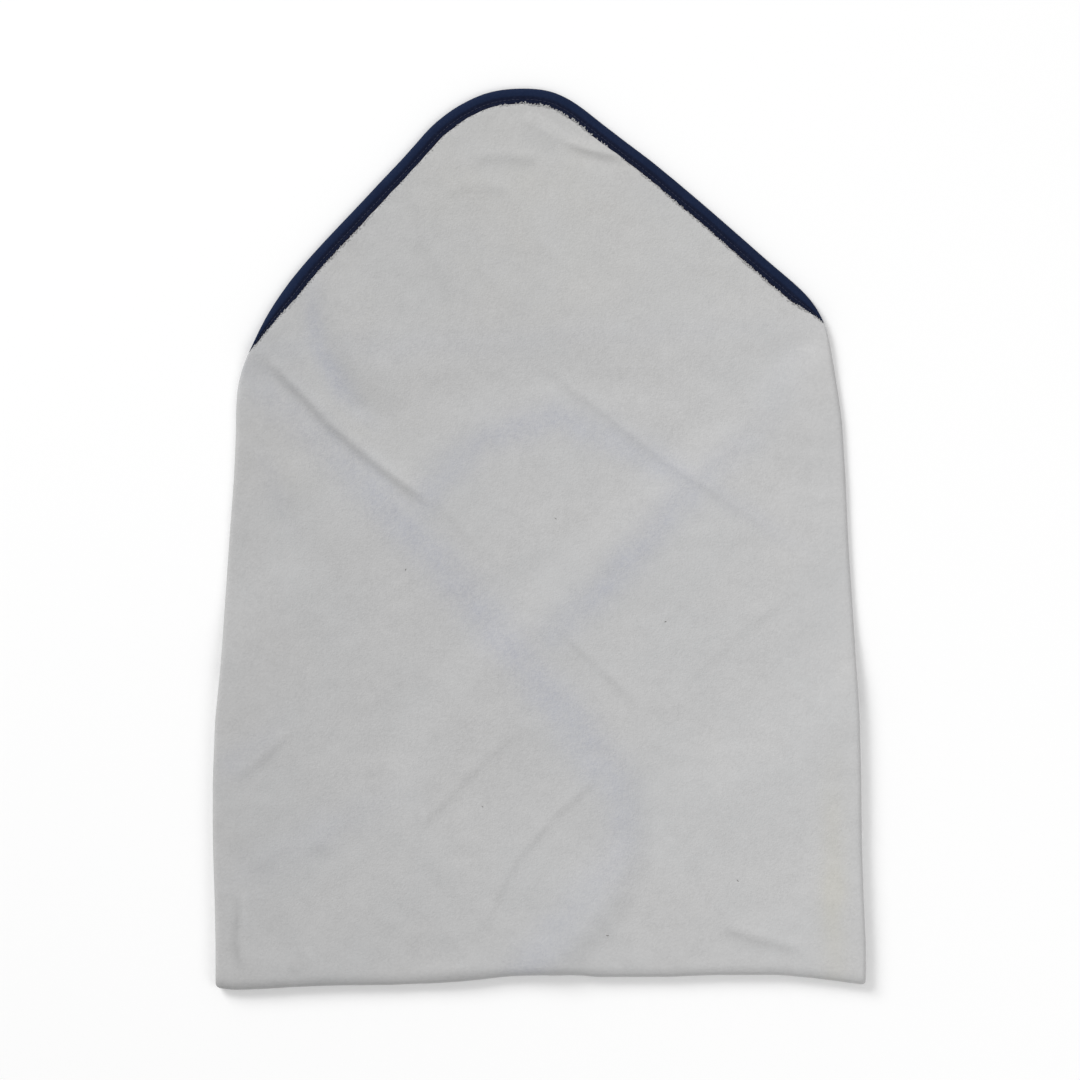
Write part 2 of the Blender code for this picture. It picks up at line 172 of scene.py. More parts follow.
# ------------------------------------------------------------------ value noise, in mm
class Noise:
    def __init__(self, size, seed):
        self.size = size
        self.grid = np.random.default_rng(seed).uniform(-1, 1, (96, 96))

    def __call__(self, x, y):
        u, v = np.asarray(x) / self.size + 48, np.asarray(y) / self.size + 48
        i, j = np.floor(u).astype(int), np.floor(v).astype(int)
        f, g = smooth(u - i), smooth(v - j)
        n = self.grid
        k = lambda a, b: n[a % 96, b % 96]
        return (k(i, j) * (1 - f) * (1 - g) + k(i + 1, j) * f * (1 - g) + k(i, j + 1) * (1 - f) * g + k(i + 1, j + 1) * f * g)


N90, N40, N18, N9, N5 = Noise(90, 1), Noise(42, 2), Noise(19, 3), Noise(9, 4), Noise(5, 5)

class Field:
    """A function of (x, y) sampled once on a grid, and read between its points."""

    def __init__(self, fun, step=2.0, low=(-246.0, -336.0), high=(246.0, 332.0)):
        self.low, self.step = low, step
        gx, gy = np.arange(low[0], high[0] + step, step), np.arange(low[1], high[1] + step, step)
        self.data = fun(*np.meshgrid(gx, gy))

    def __call__(self, x, y):
        x, y = np.broadcast_arrays(np.asarray(x, float), np.asarray(y, float))
        u = np.clip((x - self.low[0]) / self.step, 0, self.data.shape[1] - 1.001)
        v = np.clip((y - self.low[1]) / self.step, 0, self.data.shape[0] - 1.001)
        i, j = u.astype(int), v.astype(int)
        f, g = u - i, v - j
        d = self.data
        return (d[j, i] * (1 - f) + d[j, i + 1] * f) * (1 - g) + (d[j + 1, i] * (1 - f) + d[j + 1, i + 1] * f) * g


# ------------------------------------------------------------------ outlines
outline = curve(
    [(x, y) for y, x in RIGHT_EDGE] + [(x, y) for y, x in TIP[::-1]] + [(x, y) for y, x in LEFT_EDGE[::-1]],
    1.0, 4.5,
)
peak = int(outline[:, 1].argmax())
outline_in = normals_left(outline)
bottom_x, bottom_y = np.array(BOTTOM_EDGE).T
bottom_curve = curve(BOTTOM_EDGE, 1.0, 6.0)


def y_edge(x):
    return np.interp(x, bottom_curve[:, 0], bottom_curve[:, 1])


def branch(path, y, side):
    """The x of a path that goes up the right side and down the left one, at heights y."""
    k = int(path[:, 1].argmax())
    part = path[: k + 1] if side > 0 else path[k:][::-1]
    order = np.maximum.accumulate(part[:, 1])
    return np.interp(y, order, part[:, 0])


def runs_out(x, y):
    """How much of the tape's width shows: all of it along the hood, and none at its two ends."""
    x, y = np.asarray(x, float), np.asarray(y, float)
    left = np.clip((y - 128.0) / 46.0, 0.03, 1)
    right = np.clip((y - 148.5) / 25.0, 0.03, 1)
    f = np.where(x < 0, left, right)
    return 1 - (1 - f) ** 1.25


def edge_x(y, side, d=0.0):
    """The outline drawn in by d at the hood edges, easing to nothing at the side folds."""
    drawn = outline + outline_in * (d * (runs_out(outline[:, 0], outline[:, 1]) - 0.03))[:, None]
    return branch(drawn, y, side)


left_path, right_path, bottom_path = rounded(LEFT_FLAP_PATH), rounded(RIGHT_FLAP_PATH), rounded(BOTTOM_PATH)
fold_l = np.array([[branch(outline, v, -1), v] for v in np.linspace(-314, 126, 45)])
fold_r = np.array([[branch(outline, v, 1), v] for v in np.linspace(-314, 134, 45)])
LEFT = np.vstack([left_path[::2], fold_l[::-2], [(-230, -350), (-37, -350)]])
RIGHT = np.vstack([right_path[::2], right_path[-1:], [(74, -350), (230, -350)], fold_r[::2]])
BOTTOM = np.vstack([bottom_path[::2], fold_l[fold_l[:, 1] < -96][::-2], [(-230, -350), (230, -350)], fold_r[fold_r[:, 1] < -115][::2]])
TAILS = np.array([(-230, -350), (230, -350), (230, -112), (35, -290), (-7, -290), (-230, -94)], float)
HOOD = np.vstack([outline[(outline[:, 1] > 128)], HOOD_LINE])


# ------------------------------------------------------------------ heights of each layer's underside
hood_path = outline[(outline[:, 1] > 122)][::4]
from_hood_edge = Field(lambda x, y: to_line(x, y, hood_path)[0], 3.0)


def eased(polygon, short, long):
    """Cover that eases away over a short distance, and over a long one in the middle of the cloth above the flaps."""

    def at(x, y):
        w = smooth(from_hood_edge(x, y), 14, 75) * smooth(y, 60, 120)
        return inside(x, y, polygon, short) * (1 - w) + inside(x, y, polygon, long) * w

    return Field(at)


COVER = [
    eased(BOTTOM, 52.0, 60.0), eased(TAILS, 60.0, 60.0), eased(RIGHT, 34.0, 95.0), eased(LEFT, 24.0, 95.0),
    eased(np.vstack([HOOD[: -len(HOOD_LINE)][::8], HOOD_LINE]), 30.0, 70.0),
]


def cover(x, y):
    return [f(x, y) for f in COVER]


def z_right(x, y):
    b, tails, _, _, _ = cover(x, y)
    return P * b + P * tails


def z_left(x, y):
    b, tails, r, _, _ = cover(x, y)
    return P * b + P * tails + P * r


def z_front(x, y):
    b, tails, r, l, h = cover(x, y)
    low = P * (b + tails + r + l)
    # the hood panel and the flaps never lie on each other, so the higher of the two counts
    return (low**3 + ((T + POCKET) * h) ** 3) ** (1 / 3)


CREASES = [
    # (points, height of the step, its width, height of the ridge, its width, painted shade along the crease)
    ([(-200, 132), (-171, 101), (-146, 76), (-113, 47), (-70, 16)], 1.3, 2.2, 0.45, 4.5, 0.03),
    ([(-76, 25), (-60, 10), (-45, -8)], 0.35, 3.0, 0.1, 5.0, 0.02),
    ([(-14, 130), (40, 88), (84, 53), (140, 18), (182, -14)], 0.27, 2.2, 0.16, 4.5, 0.035),
    ([(7, -63), (40, -92), (70, -122)], 0.26, 2.2, 0.12, 4.0, 0.045),
    ([(-10, -132), (-50, -170), (-91, -213)], -0.42, 2.0, 0.16, 4.0, 0.065),
    ([(46, -164), (8, -200), (-20, -234), (-40, -280)], -0.48, 2.0, 0.2, 5.0, 0.08),
    ([(182, -38), (140, -70), (91, -115)], -0.32, 2.4, 0.12, 5.0, 0.03),
    ([(-172, -136), (-195, -158), (-214, -174)], -0.6, 2.4, 0.25, 5.0, 0.08),
    ([(-91, 249), (-82, 200), (-56, 165)], 0.3, 4.0, 0.2, 6.0, 0.02),
    ([(-12, 296), (2, 288), (18, 276)], -0.9, 2.6, 0.5, 5.0, 0.04),
    ([(14, 276), (36, 269), (62, 264)], 0.9, 1.6, 0.6, 4.0, 0.05),
    ([(-50, 262), (-24, 266), (2, 262)], 0.6, 3.0, 0.4, 6.0, 0.035),
    ([(-70, 240), (-40, 246), (-14, 238)], 0.25, 3.0, 0.2, 5.0, 0.02),
    ([(122, -274), (150, -283), (186, -292)], 0.6, 3.0, 0.35, 5.5, 0.05),
    ([(-210, -248), (-214, -275), (-210, -306)], 0.9, 2.6, 0.4, 5.0, 0.12),
    ([(-176, -306), (-170, -298), (-162, -288)], -0.6, 2.2, 0.4, 5.0, 0.07),
    ([(-92, -306), (-60, -303), (-26, -300)], -0.5, 2.6, 0.3, 5.0, 0.06),
    ([(-210, -240), (-180, -222), (-140, -215)], 0.3, 4.0, 0.2, 7.0, 0.02),
    ([(-120, -190), (-150, -215), (-190, -238)], 0.4, 4.0, 0.2, 7.0, 0.03),
]
DENTS = [
    # (points, depth, width): soft hollows and swells
    ([(-162, 176), (-156, 130), (-132, 95), (-100, 72)], 0.95, 11.0),
    ([(-190, 60), (-150, 20), (-120, -20)], -0.5, 18.0),
    ([(-214, -200), (-200, -260), (-190, -300)], 0.6, 16.0),
    ([(-60, -250), (-20, -262), (20, -280)], 0.45, 16.0),
    ([(120, 90), (160, 60), (195, 20)], 0.4, 16.0),
    ([(60, 120), (20, 160), (-20, 190)], -0.4, 22.0),
    ([(196, -150), (205, -210), (200, -260)], 0.35, 14.0),
]


def relief_at(x, y):
    """Creases, dents and slow waves of the uppermost face, in mm above the pressed cloth."""
    x, y = np.asarray(x, float), np.asarray(y, float)
    wx, wy = x + 0.9 * N18(x, y), y + 0.9 * N18(x + 300, y)
    z = 0.45 * N90(x, y) + 0.28 * N40(x, y) + 0.14 * N18(x, y + 77) + 0.11 * N9(x, y)
    for points, step, width, ridge, spread, _ in CREASES:
        line = curve(points, 5.0, 6.0)
        d, at, signed = to_line(wx, wy, line)
        ends = smooth(at / (len(line) - 1), 0, 0.22) * (1 - smooth(at / (len(line) - 1), 0.78, 1))
        near = np.exp(-((d / (width * 4.5)) ** 2))
        z = z + ends * near * 0.5 * step * np.tanh(signed / width)
        z = z + ends * ridge * np.exp(-((d / spread) ** 2))
    for points, depth, width in DENTS:
        line = curve(points, 8.0, 10.0)
        d, at, _ = to_line(wx, wy, line)
        ends = smooth(at / (len(line) - 1), 0, 0.25) * (1 - smooth(at / (len(line) - 1), 0.75, 1))
        z = z - depth * ends * np.exp(-((d / width) ** 2))
    return np.clip(z, -1.1, 1.3)


relief = Field(relief_at, 1.5)


# the tape of the hidden edges shows through the terry, and one entry paints the bluish shade in the left shoulder's
# dent: (points with strength), spread in mm
BANDS = [
    ([(-205, 120, 0.35), (-160, 75, 0.6), (-98, 10, 1.0), (-55, -35, 0.9), (-14, -87, 1.0), (18, -125, 0.95),
      (42, -157, 0.85), (56, -178, 0.8), (60, -199, 0.8), (58, -215, 0.65), (50, -232, 0.5), (30, -258, 0.5),
      (0, -290, 0.7), (-10, -306, 0.6)], 15.0),
    ([(182, 130, 0.15), (154, 74, 0.25), (105, 32, 0.65), (70, -8, 0.95), (45, -36, 0.9), (14, -66, 0.6), (-7, -80, 0.4)], 12.0),
    ([(-91, 4, 0.5), (-77, 32, 0.65), (-42, 67, 0.8), (7, 84, 0.9), (56, 67, 0.8), (105, 39, 0.65)], 12.0),
    ([(-196, 130, 0.3), (-77, 133, 0.2), (91, 145, 0.15), (196, 147, 0.1)], 10.0),
    # painted bluish shade in the left shoulder's dent
    ([(-161, 176, 0.45), (-156, 132, 1.0), (-135, 97, 0.9), (-118, 80, 0.2)], 8.0),
    ([(-192, 112, 0.3), (-154, 75, 0.7), (-118, 44, 0.75), (-84, 16, 0.5)], 7.0),
    ([(-196, 60, 0.1), (-186, 30, 0.3), (-176, 5, 0.1)], 8.0),
    ([(-210, -240, 0.1), (-150, -205, 0.35), (-100, -180, 0.1)], 14.0),
    ([(-215, -160, 0.4), (-190, -140, 0.2), (-170, -120, 0.0)], 9.0),
    ([(105, 39, 0.55), (150, 15, 0.35), (185, -8, 0.1)], 7.0),
]
WARM = [((-10, 250), (110, 60), 0.35), ((205, -245), (9, 62), 1.5), ((20, 205), (150, 60), 0.25), ((-140, 60), (60, 40), 0.2)]


def show_through_and_shade_strength(x, y):
    wx, wy = x + 2.5 * N18(x, y + 55), y + 2.5 * N18(x + 99, y)
    total = np.zeros(np.shape(x))
    for points, spread in BANDS:
        line = curve(points, 4.0, 8.0)
        d, at, _ = to_line(wx, wy, line[:, :2])
        s = np.interp(at, np.arange(len(line)), line[:, 2])
        total = np.maximum(total, s * np.exp(-((d / spread) ** 2)))
    return total * (0.86 + 0.2 * N9(x, y))


def painted_shade_strength(x, y):
    """Painted shade and light on the cloth: painted shade along the creases, on slopes facing lower left, on the left
    side and on the bottom fold's nose, painted light on slopes facing upper right and on the right side, and a little
    random tone.
    """
    e = 1.5
    # painted shade on slopes facing lower left, painted light on slopes facing upper right
    slope = (relief(x + e, y + e) - relief(x - e, y - e)) / (2 * e * math.sqrt(2))
    t = 1.0 - np.clip(0.62 * slope, -0.05, 0.15)
    # painted light falloff: darker on the left, lighter on the right, with painted shade on the lower left
    t = t * (0.99 + 0.072 * np.clip(x / 229, -1, 1) - 0.012 * smooth(-y, 150, 320) * smooth(-x, 0, 229))
    # painted shade along the bottom fold's nose, stronger on the left half
    near = np.exp(-((np.maximum(y - y_edge(x), 0) / 7.0) ** 2))
    t = t * (1 - near * (0.03 + 0.05 * (1 - smooth(x, 0, 60))))
    # painted shade along the creases
    wx, wy = x + 0.9 * N18(x, y), y + 0.9 * N18(x + 300, y)
    for points, _, width, _, _, crease_shade in CREASES:
        line = curve(points, 5.0, 6.0)
        d, at, _ = to_line(wx, wy, line)
        ends = smooth(at / (len(line) - 1), 0, 0.25) * (1 - smooth(at / (len(line) - 1), 0.7, 1))
        t = t * (1 - crease_shade * ends * np.exp(-((d / (width * 0.9)) ** 2)) * (0.8 + 0.4 * N9(x, y)))
    return t * (1 + 0.012 * N40(x + 17, y) + 0.008 * N18(x, y + 140))


def warm_strength(x, y):
    total = np.zeros(np.shape(x))
    for (cx, cy), (rx, ry), s in WARM:
        total = np.maximum(total, s * np.exp(-(((x - cx) / rx) ** 2 + ((y - cy) / ry) ** 2)))
    return total * (0.8 + 0.3 * N18(x + 31, y))


# ------------------------------------------------------------------ meshes
def loops_mesh(name, loops, cap_start=True, cap_end=True):
    """A closed solid from a list of closed loops of equally many points."""
    v = np.concatenate(loops)
    m, n = len(loops[0]), len(loops)
    i = np.arange(m)
    j = (i + 1) % m
    faces = []
    for r in range(n - 1):
        a, b = r * m, (r + 1) * m
        faces.append(np.stack([a + i, a + j, b + j, b + i], 1))
    faces = np.concatenate(faces).tolist()
    if cap_start:
        faces.append(list(range(m))[::-1])
    if cap_end:
        faces.append([(n - 1) * m + k for k in range(m)])
    mesh = bpy.data.meshes.new(name)
    mesh.from_pydata((v * MM).tolist(), [], faces)
    mesh.update()
    b = bmesh.new()
    b.from_mesh(mesh)
    bmesh.ops.recalc_face_normals(b, faces=b.faces)
    ends = [f for f in b.faces if len(f.verts) > 4]
    bmesh.ops.triangulate(b, faces=ends)
    b.to_mesh(mesh)
    b.free()
    o = bpy.data.objects.new(name, mesh)
    bpy.context.scene.collection.objects.link(o)
    mesh.shade_smooth()
    mesh.set_sharp_from_angle(angle=math.radians(55))
    return o


def paint(o, name, values):
    a = o.data.attributes.new(name, "FLOAT", "POINT")
    a.data.foreach_set("value", np.asarray(values, np.float32))


def places(o):
    v = np.empty(len(o.data.vertices) * 3, np.float32)
    o.data.vertices.foreach_get("co", v)
    return v.reshape(-1, 3) / MM


def join(name, verts, faces):
    mesh = bpy.data.meshes.new(name)
    mesh.from_pydata((np.asarray(verts) * MM).tolist(), [], faces)
    mesh.update()
    mesh.shade_smooth()
    o = bpy.data.objects.new(name, mesh)
    bpy.context.scene.collection.objects.link(o)
    return o


NA, NB = 9, 3


def section(x_l, x_r, out, inn, leg_l, leg_r, roll_l, roll_r, columns):
    """One C-shaped closed section of a sheet with both edges rolled over.
    out and inn give the outer and inner faces' z at x; a leg is (outer z, inner z) of the rolled edge."""
    c_l, c_r = x_l + roll_l, x_r - roll_r
    x = np.linspace(c_l, c_r, columns + 1)
    zo, zi = out(x), inn(x)
    sign = 1.0 if zo[0] > zi[0] else -1.0

    def side(c, z_out, z_in, leg, roll, way):
        a = np.linspace(0, math.pi, NA + 1)[1:]
        mid, half = (z_out + leg[0]) / 2, (z_out - leg[0]) / 2
        outer = np.stack([c + way * roll * np.sin(a), mid + half * np.cos(a)], 1)
        b = np.linspace(math.pi, 0, NB + 2)[:-1]
        mid, half = (z_in + leg[1]) / 2, (z_in - leg[1]) / 2
        small = max(roll - T, 0.12)
        inner = np.stack([c + way * small * np.sin(b), mid + half * np.cos(b)], 1)
        return np.vstack([outer, inner])

    right = side(c_r, zo[-1], zi[-1], leg_r, roll_r, 1)
    left = side(c_l, zo[0], zi[0], leg_l, roll_l, -1)[::-1]
    return np.vstack([np.stack([x, zo], 1), right, np.stack([x[::-1], zi[::-1]], 1), left]), sign


def bound_margin(x, y, path, start=10.0, full=14.0):
    """1 on the open cloth, 0 under the tape of a bound edge."""
    d, _, _ = to_line(x, y, path)
    return smooth(d, start, full)


def front_top(x, y):
    x, y = np.broadcast_arrays(np.asarray(x, float), np.asarray(y, float))
    d = from_hood_edge(x, y)
    f = runs_out(x, y)
    away = np.clip((d - 7.5 * f) / (1.5 + 3.5 * f), 0, 1)
    away = np.where(y > 128, away * away * (3 - 2 * away), 1.0)
    pressed = 1.05 * (1 - away) * np.clip((f - 0.03) * 3, 0, 1)
    pile = 0.13 * N5(x, y)
    edge = smooth(np.minimum(x - edge_x(y, -1), edge_x(y, 1) - x), 2.0, 16.0)
    return z_front(x, y) + T + (relief(x, y) * (0.25 + 0.75 * edge) * away + pile) * 1.0 - pressed


def front_bottom(x, y):
    return z_front(x, y)


COLUMNS = 184
ROLL = 3.4
Y_TURN = -286.0

print("front rows")
loops, front_count = [], 0
ys = np.r_[np.arange(307.0, 296.0, -1.1), np.arange(296.0, Y_TURN, -2.5), Y_TURN]
for y in ys:
    x_l, x_r = float(edge_x(y, -1, 5.0)), float(edge_x(y, 1, 5.0))
    k_l = 0.03 + 0.97 * float(1 - smooth(y, 104, 131))
    k_r = 0.03 + 0.97 * float(1 - smooth(y, 116, 150))
    r_l = 1.1 + (ROLL - 1.1) * k_l
    r_r = 1.1 + (ROLL - 1.1) * k_r
    c_l, c_r = x_l + r_l, x_r - r_r
    zi_l, zi_r = float(front_bottom(c_l, y)), float(front_bottom(c_r, y))
    z_l, z_r = float(z_left(c_l, y)), float(z_right(c_r, y))
    leg_l = (zi_l - k_l * (zi_l - z_l), zi_l - 0.02 - k_l * (zi_l - z_l - T - 0.02))
    leg_r = (zi_r - k_r * (zi_r - z_r), zi_r - 0.02 - k_r * (zi_r - z_r - T - 0.02))
    ring, _ = section(
        x_l, x_r, lambda x: front_top(x, np.full_like(x, y)), lambda x: front_bottom(x, np.full_like(x, y)),
        leg_l, leg_r, r_l, r_r, COLUMNS,
    )
    loops.append(np.stack([ring[:, 0], np.full(len(ring), y), ring[:, 1]], 1))

# the bottom flap's own loops, from the turn to its rounded corner
def bottom_edge_x(y, side, d=5.0):
    drawn = bottom_path + normals_left(bottom_path) * d
    fold = float(branch(outline, y, side))
    bound = float(branch(drawn, y, side))
    meets = -96.3 if side < 0 else -115.0
    if y < meets:
        return fold
    return bound if side * bound < side * fold else fold


def flap_under(x, y):
    """The bottom flap's outer face, which lies on the table."""
    return 0.5 * (1 - bound_margin(x, y, bottom_path)) + 0.0 * x


def flap_over(x, y):
    return T - 0.5 * (1 - bound_margin(x, y, bottom_path)) + 0.0 * x


B_TOP = float((bottom_path + normals_left(bottom_path) * 5.0)[:, 1].max()) - 0.4
flap_loops = []
for y in np.r_[Y_TURN, np.arange(Y_TURN + 4, B_TOP - 8, 4.0), np.linspace(B_TOP - 8, B_TOP, 7)]:
    x_l, x_r = bottom_edge_x(y, -1), bottom_edge_x(y, 1)
    k_l = 0.03 + 0.97 * float(1 - smooth(y, -112, -97))
    k_r = 0.03 + 0.97 * float(1 - smooth(y, -131, -116))
    r_l, r_r = 0.9 + (ROLL - 0.9) * k_l, 0.9 + (ROLL - 0.9) * k_r
    zi = T
    zi_l = float(flap_over(np.array([x_l + r_l]), np.array([y]))[0])
    zi_r = float(flap_over(np.array([x_r - r_r]), np.array([y]))[0])
    leg_l = (zi_l + k_l * (P + T - zi_l), zi_l + 0.02 + k_l * (P - zi_l - 0.02))
    leg_r = (zi_r + k_r * (P + T - zi_r), zi_r + 0.02 + k_r * (P - zi_r - 0.02))
    ring, _ = section(
        x_l, x_r, lambda x: flap_under(x, np.full_like(x, y)), lambda x: flap_over(x, np.full_like(x, y)),
        leg_l, leg_r, r_l, r_r, COLUMNS,
    )
    flap_loops.append(np.stack([ring[:, 0], np.full(len(ring), y), ring[:, 1]], 1))


REACH = 8.0
ANGLES = [81, 72, 63, 54, 45, 27, 9, -9, -27, -45, -54, -63, -72, -81]


def turn(upper, lower, flat_rows):
    """Flat loops that lead a sheet to the bottom fold, from its loop above and from its loop below.
    arcs() carries them round: each point keeps its own radius about the fold's middle line, and the fold's nose is
    longer than it is high."""
    f_up = upper[:, 0], lower[:, 0]
    ends = [y_edge(x) + REACH for x in f_up]
    flats_u, flats_l = [], []
    for i in range(1, flat_rows + 1):
        f = i / flat_rows
        flats_u.append(np.stack([upper[:, 0], upper[:, 1] * (1 - f) + ends[0] * f, upper[:, 2]], 1))
        flats_l.append(np.stack([lower[:, 0], lower[:, 1] * (1 - f) + ends[1] * f, lower[:, 2]], 1))
    return flats_u, flats_l[::-1]


def arcs(top, low):
    rho_u, rho_l = np.maximum(top[:, 2] - Z_HINGE, 0.15), np.maximum(Z_HINGE - low[:, 2], 0.15)
    made = {}
    for deg in ANGLES:
        a = math.radians(deg)
        f = float(smooth(0.5 - deg / 180))
        rho = rho_u * (1 - f) + rho_l * f
        x = top[:, 0] * (1 - f) + low[:, 0] * f
        extra = np.clip(REACH - (z_front(x, y_edge(x) + 20) + T) / 2, 0.2, 6.0)
        y = top[:, 1] * (1 - f) + low[:, 1] * f - (rho + extra) * math.cos(a)
        made[deg] = np.stack([x, y, Z_HINGE + rho * math.sin(a)], 1)
    return made


flats_u, flats_l = turn(loops[-1], flap_loops[0], 6)
# the flat rows follow the heights where they really are
K = COLUMNS + 1
OVER, BACK = slice(0, K), slice(K + NA + NB + 1, K + NA + NB + 1 + K)
for p in flats_u:
    p[OVER, 2] = front_top(p[OVER, 0], p[OVER, 1])
    p[BACK, 2] = front_bottom(p[BACK, 0], p[BACK, 1])
around = arcs(flats_u[-1], flats_l[0])
front_loops = loops + flats_u + [around[a] for a in ANGLES if a >= 45]
strip_loops = [around[a] for a in ANGLES if -45 <= a <= 45]
under_loops = [around[a] for a in ANGLES if a <= -45] + flats_l + flap_loops

front = loops_mesh("main_sheet_terry", front_loops)
strip = loops_mesh("bottom_fold_terry", strip_loops)
under = loops_mesh("bottom_flap_terry", under_loops)


# ------------------------------------------------------------------ side flaps, with their turned-up tails
def plain_section(x_a, x_b, out, inn, columns, edge=0.9):
    """A closed section of a flat layer, with round ends."""
    c_a, c_b = x_a + edge, x_b - edge
    x = np.linspace(c_a, c_b, columns + 1)
    zo, zi = out(x), inn(x)
    a = np.linspace(0, math.pi, 7)[1:-1]
    right = np.stack([c_b + edge * np.sin(a), (zo[-1] + zi[-1]) / 2 + (zo[-1] - zi[-1]) / 2 * np.cos(a)], 1)
    left = np.stack([c_a - edge * np.sin(a[::-1]), (zo[0] + zi[0]) / 2 + (zo[0] - zi[0]) / 2 * np.cos(a[::-1])], 1)
    return np.vstack([np.stack([x, zo], 1), right, np.stack([x[::-1], zi[::-1]], 1), left])


def flap_piece(side, path, z_fun, top_y, tail_top):
    """The three meshes of a side flap: the flap, its turn at the bottom fold, and its tail."""
    columns = 56
    drawn = path + normals_left(path) * 5.0
    ups = []
    for y in np.r_[np.linspace(top_y, top_y - 6, 4)[:-1], np.arange(top_y - 6, Y_TURN, -4.5), Y_TURN]:
        fold = float(branch(outline, y, side)) - side * (ROLL + 0.15)
        # the path crosses each height twice at most; the fold side's own crossing is the near one
        over = drawn[:, 1] - y
        hits = [i for i in range(len(drawn) - 1) if over[i] * over[i + 1] <= 0 and over[i] != over[i + 1]]
        xs = [float(np.interp(0, *zip(*sorted([(over[i], drawn[i, 0]), (over[i + 1], drawn[i + 1, 0])])))) for i in hits]
        bound = (max(xs) if side < 0 else min(xs)) if xs else fold
        if side * (fold - bound) < 2.4:
            bound = fold - side * 2.4
        a, b = (fold, bound) if side < 0 else (bound, fold)
        out = lambda x: z_fun(x, np.full_like(x, y)) + 0.45 * (1 - bound_margin(x, np.full_like(x, y), path))
        inn = lambda x: z_fun(x, np.full_like(x, y)) + T - 0.45 * (1 - bound_margin(x, np.full_like(x, y), path))
        ring = plain_section(a, b, out, inn, columns)
        ups.append(np.stack([ring[:, 0], np.full(len(ring), y), ring[:, 1]], 1))
    leaves = path[0] if side < 0 else path[-1]
    tail_path = np.array([[leaves[0], HINGE_Y], [branch(outline, tail_top, side), tail_top]])
    downs = []
    for y in np.r_[Y_TURN, np.arange(Y_TURN + 4.5, tail_top - 9, 4.5), np.linspace(tail_top - 9, tail_top - 5, 4)]:
        fold = float(branch(outline, y, side)) - side * (ROLL + 0.15)
        f = (y - HINGE_Y) / (tail_top - HINGE_Y)
        bound = tail_path[0, 0] * (1 - f) + tail_path[1, 0] * f + side * 7.0
        if side * (fold - bound) < 2.4:
            bound = fold - side * 2.4
        a, b = (fold, bound) if side < 0 else (bound, fold)
        out = lambda x: np.full_like(x, P + T) - 0.45 * (1 - bound_margin(x, np.full_like(x, y), tail_path))
        inn = lambda x: np.full_like(x, P) + 0.45 * (1 - bound_margin(x, np.full_like(x, y), tail_path))
        ring = plain_section(a, b, out, inn, columns)
        downs.append(np.stack([ring[:, 0], np.full(len(ring), y), ring[:, 1]], 1))
    flats_up, flats_low = turn(ups[-1], downs[0], 5)
    bend = arcs(flats_up[-1], flats_low[0])
    word = "left" if side < 0 else "right"
    return (
        loops_mesh(word + "_flap_terry", ups + flats_up + [bend[a] for a in ANGLES if a >= 45]),
        loops_mesh(word + "_flap_turn_terry", [bend[a] for a in ANGLES if -45 <= a <= 45]),
        loops_mesh(word + "_tail_terry", [bend[a] for a in ANGLES if a <= -45] + flats_low + downs),
        tail_path,
    )


print("side flaps")
l_flap, l_turn, l_tail, l_tail_path = flap_piece(-1, left_path, z_left, 118.0, -96.3)
r_flap, r_turn, r_tail, r_tail_path = flap_piece(1, right_path, z_right, 126.0, -115.0)

# ------------------------------------------------------------------ hood panel, under the hood
hood_line = curve(HOOD_LINE, 2.0, 10.0)


def line_y(x):
    return np.interp(x, hood_line[:, 0], hood_line[:, 1])


def column_y(x):
    """The hood edge's height above each x, drawn in under its tape."""
    drawn = outline + outline_in * 5.0
    part = drawn[drawn[:, 1] > 100][::-1]
    order = np.maximum.accumulate(part[:, 0])
    return np.interp(x, order, part[:, 1])


rings = []
for x in np.r_[-194.0, np.arange(-191.0, 188.0, 4.0), 190.0]:
    y0, y1 = float(line_y(x)) + 5.0, float(column_y(np.array([x]))[0])
    y1 = max(y1, y0 + 3.0)
    grid = np.linspace(y0, y1, 41)
    line2 = np.stack([hood_line[:, 0], hood_line[:, 1]], 1)
    d1, _, _ = to_line(np.full_like(grid, x), grid, line2)
    d2, _, _ = to_line(np.full_like(grid, x), grid, hood_path)
    margin = 1 - smooth(np.minimum(d1, d2), 8.5, 12.5)
    lo, hi = 0.5 * margin, T - 0.5 * margin
    rings.append(np.vstack([
        np.stack([np.full(41, x), grid, hi], 1),
        [[x, y1 + 0.6, T / 2]],
        np.stack([np.full(41, x), grid[::-1], lo[::-1]], 1),
        [[x, y0 - 0.6, T / 2]],
    ]))
hood = loops_mesh("hood_panel_terry", rings)


